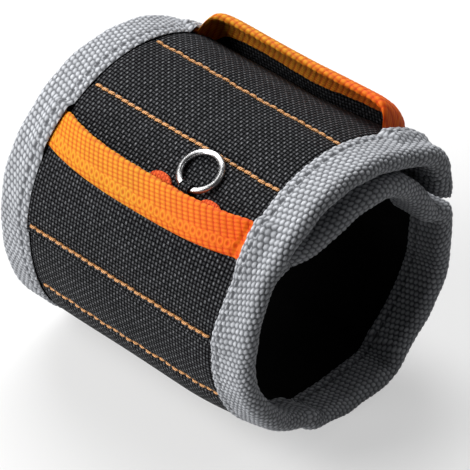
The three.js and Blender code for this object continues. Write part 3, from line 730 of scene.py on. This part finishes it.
def small_arches(along, across, base, way, reach, rise, radius, rings=6, sides=5):
    """Rows of little bent threads that stand on a patch. Each is a tube round an arch that goes forward by a cosine and
    up by a sine; its rings stand square to the arch, round across the band and along the arch's own normal. way is 1
    on the outer face and -1 under the band."""
    t = np.linspace(0, 1, rings)
    round_it = np.arange(sides) * 2 * np.pi / sides
    forward = reach[:, None] * (1 - np.cos(np.pi * t)) / 2
    up = rise[:, None] * np.sin(0.92 * np.pi * t)
    go_forward = reach[:, None] * np.sin(np.pi * t) / 2
    go_up = rise[:, None] * 0.92 * np.cos(0.92 * np.pi * t)
    size = np.hypot(go_forward, go_up)
    aside, lean = radius * np.cos(round_it), radius * np.sin(round_it)
    places = along[:, None, None] + forward[..., None] - (go_up / size)[..., None] * lean
    heights = base + way * (up[..., None] + (go_forward / size)[..., None] * lean)
    points = on_band(places, across[:, None, None] + aside, heights)
    return points.reshape(-1, 3), tube_faces(len(along), rings, sides)


def patch_finish(name, low, high, gleam):
    """Black closure tape: cloudy tones at the scale of its hooks or loops, with a soft bump."""
    material, tree, main = start_material(name, Roughness=0.7, Specular_IOR_Level=gleam)
    place = add_node(tree, "TexCoord").outputs["Object"]
    fluff = noise(tree, place, 1500.0, 4.0)
    feed(tree, main, Base_Color=two_colours(tree, fluff, low, high), Normal=bumped(tree, fluff, 0.5, 0.0002))
    return material


hook_black = patch_finish("hook tape", (0.006, 0.006, 0.0065), (0.016, 0.016, 0.017), 0.4)
loop_black = patch_finish("loop tape", (0.006, 0.006, 0.0065), (0.022, 0.022, 0.023), 0.15)
for name, start, end, face, way, body, finish in (("hook", hook_start, hook_end, -2.3, -1, "flap", hook_black),
                                                  ("loop", loop_start, loop_end, 2.3, 1, "wall", loop_black)):
    along, across = grid_of(steps(start, end, 0.8, 2), steps(-patch_half_width, patch_half_width, 0.9, 2))
    rough = 0.05 * scatter(np.floor(along * 3), np.floor(across * 3))
    across = across * (1 - drawn_back(along) / patch_half_width)
    backing = cloth_sheet(f"{name}_backing", on_band(along, across, face + way * (0.3 + rough)),
                          on_band(along, across, face), 2, (along, across))
    backing.data.materials.append(finish)
    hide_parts(f"{name}_patch")
    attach(backing, body)
    rows, columns = grid_of(np.arange(start + 1.4, end - 1.2, pile_row_pitch),
                            np.arange(-pile_half_width, pile_half_width + 0.1, pile_column_pitch))
    rows, columns = rows.ravel(), columns.ravel()
    jitter = scatter(rows * 7.1, columns * 3.3)
    columns = columns * (1 - drawn_back(rows) / patch_half_width)
    points, faces = small_arches(rows + 0.3 * jitter, columns + 0.5 * scatter(rows * 3.7, columns), face + way * 0.25,
                                 way, 0.55 + 0.4 * jitter, 0.28 + 0.12 * jitter, pile_thread_radius)
    pile = make_piece(f"{name}_pile", points, faces)
    pile.data.materials.append(finish)
    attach(pile, body)


# Edge binding
# A thick grey tape woven from bulky knotted yarn, folded over both long edges of the band and sewn through.
# It rides up over the ends of the pocket tapes, and short pieces of it close the flap's tip and the inner end.

binding_half, binding_leg, nose_reach, binding_face = 45.0, 9.2, 2.8, 3.0
nose_run = math.pi * (nose_reach + binding_face) / 2
binding_run = 2 * binding_leg + nose_run
knot_pitch, pick_pitch, knot_depth, binding_back, seam_inset, seam_pitch = 1.42, 1.6, 0.4, 0.62, 2.6, 3.1


def folded_section(run, leg=binding_leg, outer_share=1.0):
    """The folded tape's section, by the run over its width: inward distance from the band's edge, height, and the two
    parts of its outward direction. A leg on the outer face, half an ellipse round the edge, a leg on the inner face.
    The outer leg is shorter by a share where the tape was folded unevenly."""
    angle = np.clip((run - leg) / nose_run, 0, 1) * np.pi
    straight = np.clip(leg - run, 0, None) * outer_share + np.clip(run - leg - nose_run, 0, None)
    inward = nose_reach - nose_reach * np.sin(angle) + straight
    return inward, binding_face * np.cos(angle), -np.sin(angle), np.cos(angle)


def over_pocket(along):
    """How far the binding is lifted by what it passes over: the panel's thickness along each pocket, and the tape's too
    along the mouths."""
    panel = 0.75 * (ease(along, 4, 6) * (1 - ease(along, 25, 27)) + ease(along, 70, 72) * (1 - ease(along, 105, 108)))
    tape = 0.95 * (ease(along, 11, 13) * (1 - ease(along, 25, 27)) + ease(along, 70, 72) * (1 - ease(along, 83.5, 86)))
    return panel + tape


def knotted(run, along):
    """The binding's relief, 0 to 1: round knots in rows across the tape, every other row shifted by half a knot. Each
    is a dome, half of an ellipsoid, over the thin ground yarns. The rows slant and wander a little, and no two knots
    stand quite alike."""
    picks = (along + 0.25 * run) / pick_pitch + 0.12 * np.sin(along / 5.3 + run / 3.1) + 0.08 * np.sin(along / 2.1)
    row = np.floor(picks)
    columns = run / knot_pitch + 0.5 * (row % 2) + 0.16 * (scatter(row, 3.0) - 0.5)
    column = np.floor(columns)
    side, end = 2 * (columns - column) - 1, 2 * (picks - row) - 1
    chance = scatter(column, row)
    dome = np.sqrt(np.clip(1 - 1.02 * side ** 2 - 0.98 * end ** 2, 0, 1)) * (0.78 + 0.22 * chance)
    ground = 0.13 + 0.10 * np.cos(4 * np.pi * columns) * np.cos(2 * np.pi * picks)
    return np.maximum(dome, ground)


# Grey binding: the deep and crown tones are painted shade between the knots and a painted highlight on their crowns.
grey = tape_finish("grey binding", (0.105, 0.109, 0.119), (0.285, 0.295, 0.317), (0.525, 0.54, 0.572), 0.2, 0.05)
for edge, sign in (("near", -1), ("far", 1)):
    for body, start, end, nodes in (("flap", 5.4, stitch_e, ("flap", "base")),
                                    ("wall", stitch_e, band_length - 5.4, ("wall",))):
        along, run = grid_of(steps(start, end, pick_pitch / 8, 4), steps(0, binding_run, 0.25, 4))
        uneven_fold = 0.24 * np.exp(-((along - 88) / 13) ** 2) if edge == "near" else 0.0
        inward, height, out_inward, out_height = folded_section(run, outer_share=1 - uneven_fold)
        relief = knotted(run, along)
        edge_away = np.minimum(run, binding_run - run)
        dashes = ease(np.cos(2 * np.pi * along / seam_pitch + 0.5 * np.sin(along / 7)), -0.7, -0.1)
        seam = np.exp(-((edge_away - seam_inset) / 0.42) ** 2) * dashes
        relief = relief * (1 - 0.95 * seam)
        tucked = 0.45 * (1 - ease(edge_away, 0, 0.8)) + 0.3 * seam
        uneven = (0.16 * np.sin(along / 4.7 + sign) + 0.12 * np.sin(along / 1.9 + 2 * sign)) * -out_inward
        lifted = over_pocket(along) * ease(inward, 4.5, 8.5) * (height > 0)
        raised = knot_depth * (relief - 0.6) - tucked + uneven
        edge_place = binding_half - drawn_back(along) - inward
        front = on_band(along, sign * (edge_place - out_inward * raised), height + out_height * raised + lifted)
        back = on_band(along, sign * (edge_place + out_inward * binding_back),
                       height - out_height * binding_back + lifted)
        binding = cloth_sheet(f"edge_binding_{edge}_{body}", front, back, 4, (run, along), relief=relief)
        binding.data.materials.append(grey)
        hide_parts(*[f"binding_{edge}_{node}" for node in nodes])
        bend_with_fold(binding, body)

end_leg = 5.2
end_run = 2 * end_leg + nose_run
for name, node, body, edge_at, way, end_half in (
        ("tip", "binding_tip", "flap", -nose_reach, 1, 45.0),
        ("inner_end", "binding_inner_end", "wall", band_length + nose_reach, -1, 40.5)):
    corner = math.pi / 2 * nose_reach
    half_length = end_half - nose_reach + corner
    place, run = grid_of(steps(-half_length, half_length, pick_pitch / 8, 4), steps(0, end_run, 0.25, 4))
    inward, height, out_inward, out_height = folded_section(run, end_leg)
    relief = knotted(run, place + 60)
    turn = np.clip((np.abs(place) - end_half + nose_reach) / corner, 0, 1) * np.pi / 2 * 0.97
    across = np.sign(place) * (np.minimum(np.abs(place), end_half - nose_reach) + nose_reach * np.sin(turn))
    edge_away = np.minimum(run, end_run - run)
    raised = knot_depth * (relief - 0.6) - 0.3 * (1 - ease(edge_away, 0, 0.8))
    front = on_band(edge_at + way * (inward + out_inward * raised), across + np.sign(place) * raised * np.sin(turn),
                    (height + out_height * raised) * np.cos(turn))
    back = on_band(edge_at + way * (inward - out_inward * binding_back * 0.9),
                   across - np.sign(place) * 0.7 * np.sin(turn),
                   (height - out_height * binding_back) * np.cos(turn))
    cover = cloth_sheet(f"end_binding_{name}", front, back, 4, (run, place), relief=relief)
    cover.data.materials.append(grey)
    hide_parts(node)
    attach(cover, body)


# Floor, lamps and camera
# A plain white studio table under two large soft lamps, on the left and behind on the right, with weaker ones low
# on the left, on the right and in front. The room is dim but looks white, and a long lens sees it from above.

def floor_finish():
    """White table: seen straight or mirrored it is half plain white and half a pale matt surface, which keeps the
    band's soft shadow. To other rays it is matt grey, so that little light comes back up from it."""
    material, tree, main = start_material("white table", Roughness=0.9, Specular_IOR_Level=0.0)
    path = add_node(tree, "LightPath").outputs
    seen = calc(tree, "MAXIMUM", path["Is Camera Ray"], path["Is Glossy Ray"])
    seen = calc(tree, "MAXIMUM", seen, path["Is Transmission Ray"])
    tree.links.new(two_colours(tree, seen, (0.24, 0.24, 0.24), (0.72, 0.72, 0.72)), main.inputs["Base Color"])
    white = add_node(tree, "Emission", {"Color": (1, 1, 1, 1), "Strength": 1.0})
    mixed = add_node(tree, "MixShader", {0: calc(tree, "MULTIPLY", seen, 0.5), 1: main.outputs[0], 2: white.outputs[0]})
    out = [node for node in tree.nodes if node.type == "OUTPUT_MATERIAL"][0]
    tree.links.new(mixed.outputs[0], out.inputs["Surface"])
    return material


table_half = 3000.0
corners = np.array([[-1, -1, 0], [1, -1, 0], [1, 1, 0], [-1, 1, 0]]) * table_half + [0, 0, -0.15]
table = make_piece("table", corners, [np.array([[0, 1, 2, 3]])])
table.data.materials.append(floor_finish())


def soft_lamp(name, place, aim, size, power, colour):
    """A square soft lamp at a place, turned to the aim, in metres."""
    lamp = bpy.data.lights.new(name, "AREA")
    lamp.shape, lamp.size, lamp.energy, lamp.color = "SQUARE", size, power, colour
    holder = bpy.data.objects.new(name, lamp)
    bpy.context.scene.collection.objects.link(holder)
    away = np.array(place) - np.array(aim)
    holder.location = place
    flat = math.hypot(away[0], away[1])
    holder.rotation_euler = (math.atan2(flat, away[2]), 0, math.atan2(away[0], -away[1]))


lamp_aim, white = (0, 0, 0.05), (1.0, 1.0, 1.0)
for name, place, size, power, colour in (("lamp_left", (-0.64, 0.48, 0.77), 0.6, 11.5, (1.0, 0.995, 0.985)),
                                         ("lamp_back", (0.42, 0.55, 0.90), 0.8, 14.5, white),
                                         ("lamp_low", (-0.9, 0.16, 0.08), 0.3, 6.0, white),
                                         ("lamp_right", (0.95, -0.14, 0.75), 0.3, 1.0, white),
                                         ("lamp_front", (0.55, -0.9, 0.85), 0.3, 0.9, white)):
    soft_lamp(name, place, lamp_aim, size, power, colour)

world = bpy.data.worlds.new("pale room")
bpy.context.scene.world = world
world.use_nodes = True
world.node_tree.nodes.clear()
path = add_node(world.node_tree, "LightPath").outputs
room = add_node(world.node_tree, "Background", {"Color": (1, 1, 1, 1), "Strength": 0.03})
bright = add_node(world.node_tree, "Background", {"Color": (1, 1, 1, 1), "Strength": 1.0})
choice = add_node(world.node_tree, "MixShader", {0: path["Is Camera Ray"], 1: room.outputs[0], 2: bright.outputs[0]})
add_node(world.node_tree, "OutputWorld", {"Surface": choice.outputs[0]})

view_azimuth, view_elevation, view_distance = math.radians(-47.21), math.radians(40.64), 0.82713
view_target = np.array([0.0160, 0.01173, 0.02191])
back = np.array([math.sin(view_azimuth) * math.cos(view_elevation), -math.cos(view_azimuth) * math.cos(view_elevation),
                 math.sin(view_elevation)])
camera = bpy.data.cameras.new("camera")
camera.sensor_width = 36.0
camera.lens = 18.0 / math.tan(math.radians(4.5))
camera.clip_start, camera.clip_end = 0.01, 20.0
holder = bpy.data.objects.new("camera", camera)
bpy.context.scene.collection.objects.link(holder)
holder.location = view_target + back * view_distance
holder.rotation_euler = (math.pi / 2 - view_elevation, 0, view_azimuth)
bpy.context.scene.camera = holder
bpy.context.scene.view_settings.view_transform = "Standard"
